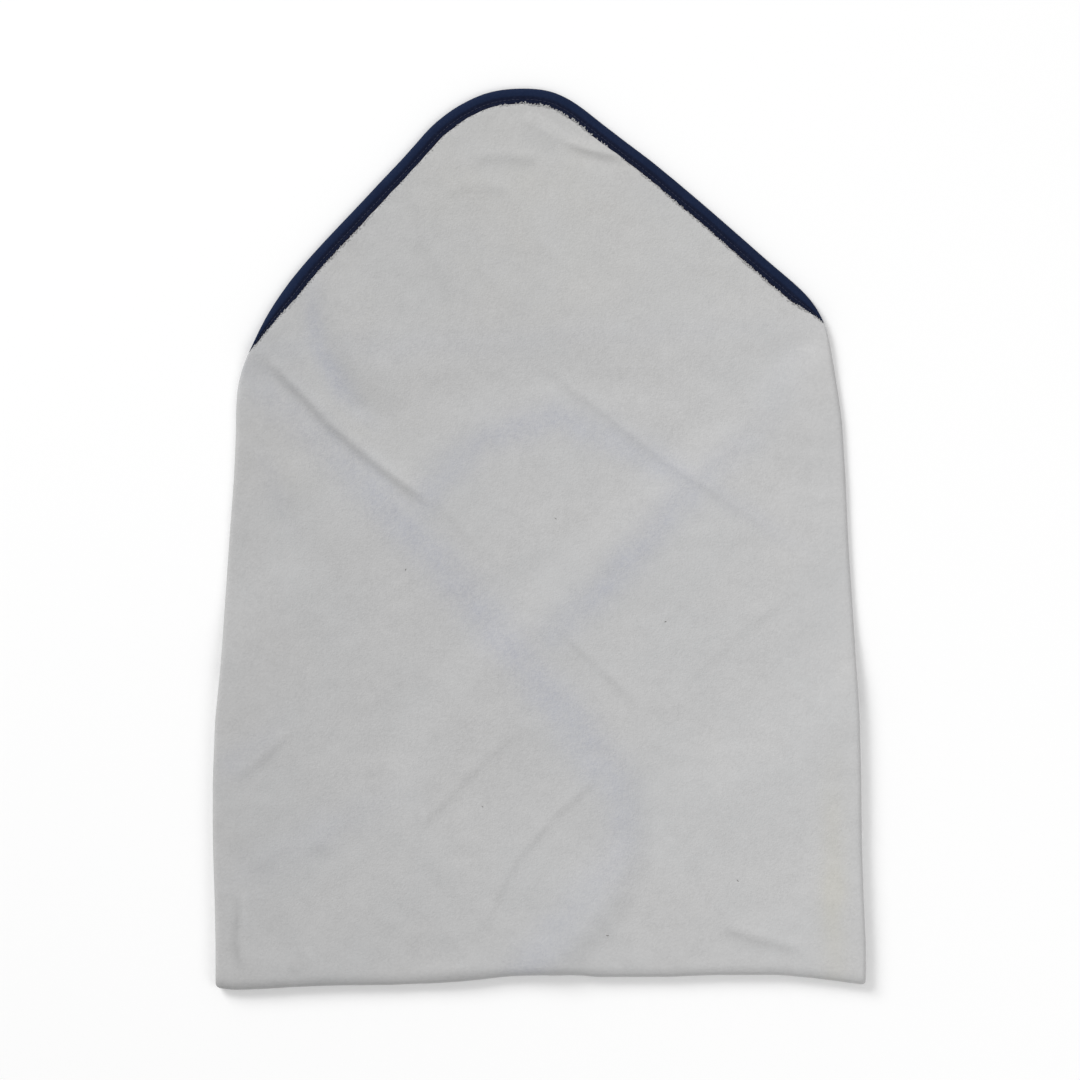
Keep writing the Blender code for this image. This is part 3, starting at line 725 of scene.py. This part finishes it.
# ------------------------------------------------------------------ bias tape
def tape(name, path, z_low, depth, width=TAPE_W, roll=1.0, start_in=0.0, seed=0, fade=None, cut=False):
    """A folded tape along a path whose cloth is on its left: a U round the cloth's edge.
    z_low is the layer's underside at points, and depth how thick the bound edge is."""
    n = normals_left(path)
    s = np.r_[0, np.cumsum(np.linalg.norm(np.diff(path, axis=0), axis=1))]
    wave = Noise(16, 900 + seed)
    fine = Noise(6, 950 + seed)
    th = 0.42
    # the outer face as (inward, share of depth) from the upper free edge round to the lower one
    half = depth / 2
    top = [(width, half - 0.28), (width - 0.5, half - 0.05), (width - 2.0, half - 0.12), (width - 3.4, half - 0.34),
           (width - 4.6, half - 0.16), (width - 6.2, half + 0.10 * roll), (3.4, half + 0.16 * roll), (2.0, half - 0.05), (0.95, half * 0.72),
           (0.25, half * 0.38), (0.0, 0.0)]
    outer = top + [(a, -z) for a, z in top[-2::-1]]
    inner = [(a if a > 1.6 else max(a, 0) + th, z - math.copysign(th, z) if abs(z) > th else 0.0) for a, z in outer]
    inner = [(max(a, th + 0.05), z) for a, z in inner][::-1]
    # the inner run must stay off the outer one at the free edges
    ring0 = np.array(outer + inner)
    rings, uv = [], []
    for i in range(len(path)):
        size = 1.0 if fade is None else float(fade[i])
        w = float(wave(s[i], 0.0)) * 0.3
        f = float(fine(s[i], 5.0)) * 0.10
        inward = ring0[:, 0] * size + w * (ring0[:, 0] / width) * size + start_in
        z = ring0[:, 1] * (1.0 + 0.0 * w)
        z = z + np.where(ring0[:, 0] > 3.0, f, 0.0) * np.sign(ring0[:, 1])
        xy = path[i] + n[i] * inward[:, None]
        if cut:
            xy[:, 0] = np.clip(xy[:, 0], edge_x(xy[:, 1], -1) + 2.6, edge_x(xy[:, 1], 1) - 2.6)
            xy[:, 1] = np.maximum(xy[:, 1], y_edge(xy[:, 0]) + REACH + 0.3)
        base = z_low(xy[:, 0], xy[:, 1])
        rings.append(np.column_stack([xy, base + half + z]))
        uv.append(np.column_stack([np.full(len(ring0), s[i]), ring0[:, 0], np.arange(len(ring0))]))
    o = loops_mesh(name, rings)
    uv = np.concatenate(uv)
    paint(o, "along", uv[:, 0])
    paint(o, "inward", uv[:, 1])
    side = np.where(uv[:, 2] < len(outer), 1.0, 0.0)
    paint(o, "outside", side)
    return o


def resample(path, step):
    s = np.r_[0, np.cumsum(np.linalg.norm(np.diff(path, axis=0), axis=1))]
    at = np.linspace(0, s[-1], max(4, int(round(s[-1] / step)) + 1))
    return np.stack([np.interp(at, s, path[:, 0]), np.interp(at, s, path[:, 1])], 1)


print("tapes")
HOOD_T = T + POCKET + T
hood_run = resample(outline[(outline[:, 1] > np.where(outline[:, 0] < 0, 128.5, 149.0))], 2.0)
k = int(hood_run[:, 1].argmax())


def edge_fade(path):
    return runs_out(path[:, 0], path[:, 1])


flat0 = lambda x, y: np.zeros_like(x)
right_tape = tape("hood_edge_tape_right", hood_run[: k + 1], flat0, HOOD_T, seed=1, roll=1.6, fade=edge_fade(hood_run[: k + 1]) * 1.0)
left_tape = tape("hood_edge_tape_left", hood_run[k:], flat0, HOOD_T, seed=2, roll=1.6, fade=edge_fade(hood_run[k:]))

hood_open = resample(hood_line, 4.0)[2:-2]
opening_tape = tape("hood_opening_tape", hood_open, flat0, T, seed=3, cut=True)


def cut_path(path, lo, hi):
    return path[(path[:, 1] >= lo) & (path[:, 1] <= hi)]


def with_fold_end(path):
    """A path cut off where it would pass the side folds."""
    n = normals_left(path)
    ok = np.zeros(len(path), bool)
    for reach in (0.0, 6.0, 11.0):
        q = path + n * reach
        ok |= np.array([branch(outline, v[1], -1) + 2.6 < v[0] < branch(outline, v[1], 1) - 2.6 for v in q]) & (q[:, 1] > -306)
    return path[ok]


l_run, r_run, b_run = (with_fold_end(resample(p, 4.0)) for p in (left_path, right_path, bottom_path))
l_run = l_run[l_run[:, 1] < 120]
r_run = r_run[r_run[:, 1] < 128]
kl = int(np.linalg.norm(l_run - np.array([83.0, -207.6]), axis=1).argmin())
kr = int(np.linalg.norm(r_run - np.array([-115.2, -174.7]), axis=1).argmin())
kb = int(b_run[:, 1].argmax())
tapes = {
    "left_flap_tape_lower": (l_run[: kl + 1], z_left, "left_flap_binding_lower", ROOT),
    "left_flap_tape_upper": (l_run[kl:], z_left, "left_flap_binding_upper", ROOT),
    "right_flap_tape_upper": (r_run[: kr + 1], z_right, "right_flap_binding_upper", ROOT),
    "right_flap_tape_lower": (r_run[kr:], z_right, "right_flap_binding_lower", ROOT),
    "bottom_flap_tape_right": (b_run[: kb + 1], flat0, "bottom_flap_binding_right", FLAP),
    "bottom_flap_tape_left": (b_run[kb:], flat0, "bottom_flap_binding_left", FLAP),
    "left_tail_tape": (with_fold_end(resample(l_tail_path, 4.0)), lambda x, y: np.full_like(x, P), "left_flap_tail_binding", FLAP),
    "right_tail_tape": (with_fold_end(resample(r_tail_path[::-1], 4.0)), lambda x, y: np.full_like(x, P), "right_flap_tail_binding", FLAP),
}
TAPES = {}
for i, (name, (run, z, node, body)) in enumerate(tapes.items()):
    TAPES[name] = (tape(name, run, z, T, seed=10 + i, roll=0.0, cut=True), node, body)


# ------------------------------------------------------------------ stitches
def tube(verts, faces, line, radius, sides=6):
    """Adds a small round-ended tube along a line."""
    line = np.asarray(line, float)
    d = np.gradient(line, axis=0)
    d /= np.linalg.norm(d, axis=1)[:, None] + 1e-12
    up = np.array([0.0, 0.0, 1.0])
    start = len(verts)
    m = len(line)
    for i in range(m):
        a = np.cross(d[i], up)
        if np.linalg.norm(a) < 1e-3:
            a = np.cross(d[i], [1.0, 0.0, 0.0])
        a /= np.linalg.norm(a)
        b = np.cross(a, d[i])
        r = radius * (0.45 if i in (0, m - 1) else 1.0)
        for k in range(sides):
            t = 2 * math.pi * k / sides
            verts.append(line[i] + r * (a * math.cos(t) + b * math.sin(t)))
    for i in range(m - 1):
        for k in range(sides):
            q = (k + 1) % sides
            p = start + i * sides
            faces.append([p + k, p + q, p + sides + q, p + sides + k])
    faces.append([start + k for k in range(sides)][::-1])
    faces.append([start + (m - 1) * sides + k for k in range(sides)])


def on_path(path, step, inset):
    n = normals_left(path)
    s = np.r_[0, np.cumsum(np.linalg.norm(np.diff(path, axis=0), axis=1))]
    at = np.arange(3.0, s[-1] - 3.0, step)
    line = path + n * inset
    f = lambda v: np.stack([np.interp(v, s, line[:, 0]), np.interp(v, s, line[:, 1])], -1)
    return f, at


def stitches(name, path, inset, z_up, pitch=3.0, length=2.3, radius=0.22, under=None, fade=None):
    verts, faces = [], []
    size = np.ones(len(path)) if fade is None else fade
    scaled = path + normals_left(path) * (inset * size)[:, None]
    f, at = on_path(scaled, pitch, 0.0)
    for s in at:
        for z, sign in ((z_up, 1), (under, -1)):
            if z is None:
                continue
            ts = np.linspace(0, 1, 6)
            xy = f(s + ts * length)
            jig = RNG.normal(0, 0.06, 2)
            lift = np.sin(ts * math.pi) ** 0.6 * 0.22
            tube(verts, faces, np.column_stack([xy + jig, z + sign * (lift - 0.06)]), radius)
    return join(name, verts, faces)


print("stitches")
SEAM = 7.9
seam_r = stitches("hood_edge_stitches_right", hood_run[: k + 1], SEAM, HOOD_T - 0.22, under=0.22, fade=edge_fade(hood_run[: k + 1]))
seam_l = stitches("hood_edge_stitches_left", hood_run[k:], SEAM, HOOD_T - 0.22, under=0.22, fade=edge_fade(hood_run[k:]))
seam_o = stitches("hood_opening_stitches", hood_open, SEAM, T - 0.24, under=0.24)


# ------------------------------------------------------------------ loops of pile along the tape
def fringe(name, path, inset, z, per_mm, reach, seed, heavy=None, fade=None, z_fun=None):
    rng = np.random.default_rng(seed)
    verts, faces = [], []
    size = np.ones(len(path)) if fade is None else fade
    n = normals_left(path)
    s = np.r_[0, np.cumsum(np.linalg.norm(np.diff(path, axis=0), axis=1))]
    count = int(s[-1] * per_mm)
    for at in np.sort(rng.uniform(1.5, s[-1] - 1.5, count)):
        p = np.array([np.interp(at, s, path[:, 0]), np.interp(at, s, path[:, 1])])
        m = np.array([np.interp(at, s, n[:, 0]), np.interp(at, s, n[:, 1])])
        m /= np.linalg.norm(m)
        along = np.array([m[1], -m[0]])
        h = 0.35 if heavy is None else heavy(p)
        long = reach * (0.35 + h * rng.uniform(0.25, 1.0))
        root = inset * float(np.interp(at, s, size)) + rng.uniform(0.2, 1.6)
        lean = rng.normal(0, 0.5)
        base = p + m * root
        tip = base - m * long + along * lean * long
        side = along * rng.uniform(0.25, 0.5) * rng.choice([-1, 1])
        zt = z + rng.uniform(-0.1, 0.25)
        ts = np.linspace(0, 1, 7)
        out = np.sin(ts * math.pi)
        line = base + (tip - base) * out[:, None] + side * (ts - 0.5)[:, None] * 2
        zz = zt + 0.55 * np.sin(ts * math.pi) + rng.uniform(-0.1, 0.15)
        tube(verts, faces, np.column_stack([line, zz]), rng.uniform(0.13, 0.2), 5)
    return join(name, verts, faces)


def heavy_spots(p):
    """How frayed the pile is along the hood: most at the tip and at the left end."""
    x, y = p
    h = 0.12
    h = max(h, 1.0 * math.exp(-(((x + 8) / 24) ** 2)) * (y > 280))
    h = max(h, 0.9 * math.exp(-(((x - 35) / 26) ** 2)) * (y > 255))
    h = max(h, 0.5 * math.exp(-(((x + 188) / 10) ** 2)) * (y < 175))
    return h


fringe_r = fringe("pile_edge_right", hood_run[: k + 1], TAPE_W, HOOD_T - 0.35, 1.5, 1.9, 5, heavy_spots, edge_fade(hood_run[: k + 1]))
fringe_l = fringe("pile_edge_left", hood_run[k:], TAPE_W, HOOD_T - 0.35, 1.5, 1.7, 6, heavy_spots, edge_fade(hood_run[k:]))


def lint(name, spots):
    rng = np.random.default_rng(41)
    verts, faces = [], []
    for x, y, size in spots:
        turn_ = rng.uniform(0, math.pi)
        t = np.linspace(-1, 1, 6)
        lx = x + size * t * math.cos(turn_) + 0.3 * size * t * t * math.sin(turn_)
        ly = y + size * t * math.sin(turn_) - 0.3 * size * t * t * math.cos(turn_)
        tube(verts, faces, np.column_stack([lx, ly, front_top(lx, ly) + 0.1]), 0.17)
    return join(name, verts, faces)


specks = lint("lint", [(47.2, -279.6, 0.9), (138.2, -241.2, 0.9), (87.8, -59.9, 0.7), (10.9, 12.2, 0.8), (-40.3, -189.4, 0.6), (-94.2, -23.5, 0.7)])

# ------------------------------------------------------------------ materials
def new_material(name):
    m = bpy.data.materials.new(name)
    m.use_nodes = True
    nt = m.node_tree
    shader = nt.nodes["Principled BSDF"]
    return m, nt, shader


class Graph:
    def __init__(self, nt):
        self.nt = nt

    def node(self, kind, **values):
        n = self.nt.nodes.new(kind)
        for key, value in values.items():
            setattr(n, key, value)
        return n

    def link(self, a, b):
        self.nt.links.new(a, b)

    def math(self, op, a, b=None, clamp=False):
        n = self.node("ShaderNodeMath", operation=op, use_clamp=clamp)
        for i, v in enumerate((a, b)):
            if v is None:
                continue
            if isinstance(v, (int, float)):
                n.inputs[i].default_value = v
            else:
                self.link(v, n.inputs[i])
        return n.outputs[0]

    def noise(self, coords, scale, detail=2.0, rough=0.5):
        n = self.node("ShaderNodeTexNoise")
        n.inputs["Scale"].default_value = scale
        n.inputs["Detail"].default_value = detail
        n.inputs["Roughness"].default_value = rough
        self.link(coords, n.inputs["Vector"])
        return n.outputs["Fac"]

    def voronoi(self, coords, scale, feature="F1"):
        n = self.node("ShaderNodeTexVoronoi", feature=feature)
        n.inputs["Scale"].default_value = scale
        self.link(coords, n.inputs["Vector"])
        return n.outputs["Distance"]

    def mix(self, factor, a, b, mode="MIX"):
        n = self.node("ShaderNodeMix", data_type="RGBA", blend_type=mode)
        for key, v in ((0, factor), (6, a), (7, b)):
            if isinstance(v, (int, float)):
                n.inputs[key].default_value = v
            elif isinstance(v, tuple):
                n.inputs[key].default_value = (*v, 1.0)
            else:
                self.link(v, n.inputs[key])
        return n.outputs[2]

    def ramp(self, value, low, high, to_low=0.0, to_high=1.0):
        n = self.node("ShaderNodeMapRange", interpolation_type="SMOOTHSTEP")
        self.link(value, n.inputs["Value"])
        for key, v in (("From Min", low), ("From Max", high), ("To Min", to_low), ("To Max", to_high)):
            n.inputs[key].default_value = v
        return n.outputs["Result"]

    def attribute(self, name):
        return self.node("ShaderNodeAttribute", attribute_name=name).outputs["Fac"]


TERRY_COLOR = (0.516, 0.5143, 0.5143)


def terry_material(name, base=TERRY_COLOR, bands=True):
    m, nt, shader = new_material(name)
    g = Graph(nt)
    at = g.node("ShaderNodeTexCoord").outputs["Object"]
    # crushed pile: short curled loops, in patches that lean together
    warp = g.node("ShaderNodeTexNoise")
    warp.inputs["Scale"].default_value = 160.0
    g.link(at, warp.inputs["Vector"])
    shift = g.node("ShaderNodeVectorMath", operation="SCALE")
    g.link(warp.outputs["Color"], shift.inputs[0])
    shift.inputs["Scale"].default_value = 0.0022
    moved = g.node("ShaderNodeVectorMath", operation="ADD")
    g.link(at, moved.inputs[0])
    g.link(shift.outputs[0], moved.inputs[1])
    coords = moved.outputs[0]
    loops_ = g.voronoi(coords, 720.0)
    fibres = g.noise(coords, 1500.0, 3.0, 0.65)
    tufts = g.noise(coords, 420.0, 2.0, 0.55)
    patches = g.noise(at, 75.0, 3.0, 0.6)
    broad = g.noise(at, 14.0, 3.0, 0.55)
    height = g.math("ADD", g.math("MULTIPLY", g.math("SUBTRACT", 1.0, loops_), 0.40), g.math("MULTIPLY", fibres, 0.45))
    height = g.math("ADD", height, g.math("MULTIPLY", tufts, 0.55))
    height = g.math("ADD", height, g.math("MULTIPLY", patches, 0.5))
    bump = g.node("ShaderNodeBump")
    bump.inputs["Strength"].default_value = 0.45
    bump.inputs["Distance"].default_value = 0.00070
    g.link(height, bump.inputs["Height"])
    g.link(bump.outputs[0], shader.inputs["Normal"])
    # light catches the loops' tops, and the ground between them is darker
    shade = g.math("ADD", g.math("MULTIPLY", g.ramp(fibres, 0.3, 0.7), 0.5), g.math("MULTIPLY", g.ramp(tufts, 0.3, 0.7), 0.5))
    dark = tuple(c * 0.915 for c in base)
    light = tuple(min(1.0, c * 1.055) for c in base)
    color = g.mix(shade, dark, light)
    color = g.mix(g.ramp(patches, 0.35, 0.68, 0.0, 0.5), color, tuple(c * 1.03 for c in base))
    cool = (base[0] * 0.965, base[1] * 0.985, base[2] * 1.0)
    warm = (base[0] * 1.01, base[1] * 1.0, base[2] * 0.972)
    color = g.mix(g.ramp(broad, 0.35, 0.65, 0.0, 0.55), color, g.mix(0.5, color, cool, "MIX"))
    if bands:
        # the hidden tape showing through as a bluish veil, and the painted shade in the shoulder's dent
        show_through_and_shade = g.attribute("show_through_and_shade")
        speckle = g.ramp(g.math("ADD", g.math("MULTIPLY", tufts, 0.6), g.math("MULTIPLY", fibres, 0.4)), 0.32, 0.66, 1.25, 0.6)
        veil = g.math("MULTIPLY", g.math("MULTIPLY", show_through_and_shade, 0.88), speckle, True)
        tint = g.mix(veil, (1.0, 1.0, 1.0), (0.898, 0.915, 0.988))
        color = g.mix(1.0, color, tint, "MULTIPLY")
        stain = g.mix(g.attribute("warm"), (1.0, 1.0, 1.0), (1.0, 0.987, 0.93))
        color = g.mix(1.0, color, stain, "MULTIPLY")
        # multiplies in the painted shade and painted light of the cloth's slopes, creases, sides and bottom fold
        color = g.mix(1.0, color, g.attribute("painted_shade"), "MULTIPLY")
    g.link(color, shader.inputs["Base Color"])
    shader.inputs["Roughness"].default_value = 0.95
    shader.inputs["Specular IOR Level"].default_value = 0.12
    shader.inputs["Sheen Weight"].default_value = 0.12
    shader.inputs["Sheen Roughness"].default_value = 0.6
    return m


def tape_material(name):
    m, nt, shader = new_material(name)
    g = Graph(nt)
    at = g.node("ShaderNodeTexCoord").outputs["Object"]
    along, inward = g.attribute("along"), g.attribute("inward")
    # a plain weave cut on the bias: two sets of yarns at 45 degrees to the tape
    a = g.math("SINE", g.math("MULTIPLY", g.math("ADD", along, inward), 2 * math.pi / 0.62))
    b = g.math("SINE", g.math("MULTIPLY", g.math("SUBTRACT", along, inward), 2 * math.pi / 0.62))
    weave = g.math("ADD", g.math("MULTIPLY", g.math("MULTIPLY", a, b), 0.5), 0.5)
    slub = g.noise(at, 650.0, 3.0, 0.6)
    wide = g.noise(at, 60.0, 2.0, 0.5)
    inner_half = g.ramp(inward, 4.6, 6.4)
    dips = g.math("ADD", g.math("MULTIPLY", g.math("SINE", g.math("MULTIPLY", along, 2 * math.pi / 3.0)), 0.5), 0.5)
    near_seam = g.math("SUBTRACT", 1.0, g.ramp(g.math("ABSOLUTE", g.math("SUBTRACT", inward, 7.9)), 0.4, 1.6))
    pucker = g.math("MULTIPLY", dips, near_seam)
    height = g.math("ADD", g.math("MULTIPLY", weave, 0.5), g.math("MULTIPLY", slub, 0.6))
    height = g.math("SUBTRACT", height, g.math("MULTIPLY", pucker, 1.1))
    bump = g.node("ShaderNodeBump")
    bump.inputs["Strength"].default_value = 0.5
    bump.inputs["Distance"].default_value = 0.00022
    g.link(height, bump.inputs["Height"])
    g.link(bump.outputs[0], shader.inputs["Normal"])
    # painted highlight: the rolled outer half of the tape is painted lighter than its flat inner half
    roll = (0.0085, 0.0168, 0.047)
    flat = (0.0052, 0.0076, 0.0215)
    color = g.mix(inner_half, roll, flat)
    color = g.mix(g.math("MULTIPLY", weave, 0.35), color, g.mix(0.5, color, (0.02, 0.03, 0.075)))
    color = g.mix(g.ramp(slub, 0.45, 0.75, 0.0, 0.4), color, (0.022, 0.030, 0.068))
    color = g.mix(g.ramp(wide, 0.4, 0.7, 0.0, 0.25), color, (0.006, 0.010, 0.030))
    color = g.mix(g.ramp(inward, 10.4, 11.0, 0.0, 0.8), color, (0.021, 0.012, 0.019))
    g.link(color, shader.inputs["Base Color"])
    shader.inputs["Roughness"].default_value = 0.82
    shader.inputs["Specular IOR Level"].default_value = 0.07
    shader.inputs["Sheen Weight"].default_value = 0.03
    shader.inputs["Sheen Roughness"].default_value = 0.45
    shader.inputs["Sheen Tint"].default_value = (0.35, 0.45, 0.8, 1.0)
    return m


def thread_material(name, color):
    m, nt, shader = new_material(name)
    g = Graph(nt)
    at = g.node("ShaderNodeTexCoord").outputs["Object"]
    n = g.noise(at, 2600.0, 2.0, 0.6)
    g.link(g.mix(n, tuple(c * 0.6 for c in color), tuple(c * 1.5 for c in color)), shader.inputs["Base Color"])
    bump = g.node("ShaderNodeBump")
    bump.inputs["Strength"].default_value = 0.4
    bump.inputs["Distance"].default_value = 0.0001
    g.link(n, bump.inputs["Height"])
    g.link(bump.outputs[0], shader.inputs["Normal"])
    shader.inputs["Roughness"].default_value = 0.6
    return m


TERRY = terry_material("terry_show_through_painted_shade")
TERRY_IN = terry_material("terry_plain", bands=False)
LOOPS = terry_material("terry_loops", tuple(min(1, c * 1.04) for c in TERRY_COLOR), bands=False)
TAPE = tape_material("navy_bias_tape")
THREAD = thread_material("navy_thread", (0.012, 0.016, 0.045))
LINT = thread_material("grey_lint", (0.12, 0.11, 0.10))

for o in (front, strip, under):
    v = places(o)
    if o is front or o is strip:
        show_through_and_shade = show_through_and_shade_strength(v[:, 0], v[:, 1]) if o is front else 0.5 * show_through_and_shade_strength(v[:, 0], v[:, 1])
        paint(o, "show_through_and_shade", show_through_and_shade)
        paint(o, "warm", warm_strength(v[:, 0], v[:, 1]))
        # painted shade and painted light of the top cloth
        paint(o, "painted_shade", painted_shade_strength(v[:, 0], v[:, 1]))
        o.data.materials.append(TERRY)
    else:
        o.data.materials.append(TERRY_IN)
for o in (l_flap, l_turn, l_tail, r_flap, r_turn, r_tail, hood):
    o.data.materials.append(TERRY_IN)
for o in (right_tape, left_tape, opening_tape, *[t[0] for t in TAPES.values()]):
    o.data.materials.append(TAPE)
for o in (seam_r, seam_l, seam_o):
    o.data.materials.append(THREAD)
for o in (fringe_r, fringe_l):
    o.data.materials.append(LOOPS)
specks.data.materials.append(LINT)

# ------------------------------------------------------------------ to the frame
HINGE = (0.0, HINGE_Y * MM, Z_HINGE * MM)


def place(o, body, node=None):
    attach(o, body)
    if node:
        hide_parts(*([node] if isinstance(node, str) else node))


place(front, ROOT, "main_sheet_front")
place(l_flap, ROOT, "left_flap")
place(r_flap, ROOT, "right_flap")
place(hood, ROOT, "hood_panel")
place(under, FLAP, "bottom_flap")
place(l_tail, FLAP, "left_flap_tail")
place(r_tail, FLAP, "right_flap_tail")
for o in (strip, l_turn, r_turn):
    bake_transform(o)
place(right_tape, ROOT, "hood_edge_binding_right")
place(left_tape, ROOT, "hood_edge_binding_left")
place(opening_tape, ROOT, "hood_opening_binding")
for o, node, body in TAPES.values():
    place(o, body, node)
place(seam_r, ROOT, "hood_edge_seam_right")
place(seam_l, ROOT, "hood_edge_seam_left")
place(seam_o, ROOT, "hood_opening_seam")
place(fringe_r, ROOT)
place(fringe_l, ROOT)
place(specks, ROOT)


# ------------------------------------------------------------------ floor, light and camera
bpy.ops.mesh.primitive_plane_add(size=8.0, location=(0, 0, -0.0004))
floor = bpy.context.object
floor.name = "floor"
m, nt, shader = new_material("pale_floor")
shader.inputs["Base Color"].default_value = (0.93, 0.93, 0.93, 1)
shader.inputs["Roughness"].default_value = 0.9
shader.inputs["Specular IOR Level"].default_value = 0.1
shader.inputs["Emission Color"].default_value = (1, 1, 1, 1)
shader.inputs["Emission Strength"].default_value = 0.06
floor.data.materials.append(m)

world = bpy.data.worlds.new("studio")
bpy.context.scene.world = world
world.use_nodes = True
world.node_tree.nodes["Background"].inputs["Color"].default_value = (1.0, 1.0, 1.0, 1)
world.node_tree.nodes["Background"].inputs["Strength"].default_value = 0.49


def area_light(name, place_, size, power, color=(1, 1, 1)):
    data = bpy.data.lights.new(name, "AREA")
    data.size, data.energy, data.color = size, power, color
    o = bpy.data.objects.new(name, data)
    o.location = place_
    from mathutils import Vector

    o.rotation_euler = (-Vector(place_)).to_track_quat("-Z", "Y").to_euler()
    bpy.context.scene.collection.objects.link(o)
    return o


area_light("key", (-4.5, 4.75, 4.6), 3.6, 440.0)
area_light("fill", (1.3, -0.7, 2.0), 1.6, 12.0)

DISTANCE = 3.2
cam_data = bpy.data.cameras.new("camera")
cam_data.sensor_width = 36.0
cam_data.lens = 36.0 * (DISTANCE - 0.009) / 0.756
cam = bpy.data.objects.new("camera", cam_data)
cam.location = (0.0, -0.0028, DISTANCE)
cam.rotation_euler = (0, 0, 0)
bpy.context.scene.collection.objects.link(cam)
bpy.context.scene.camera = cam
bpy.context.scene.view_settings.view_transform = "Standard"
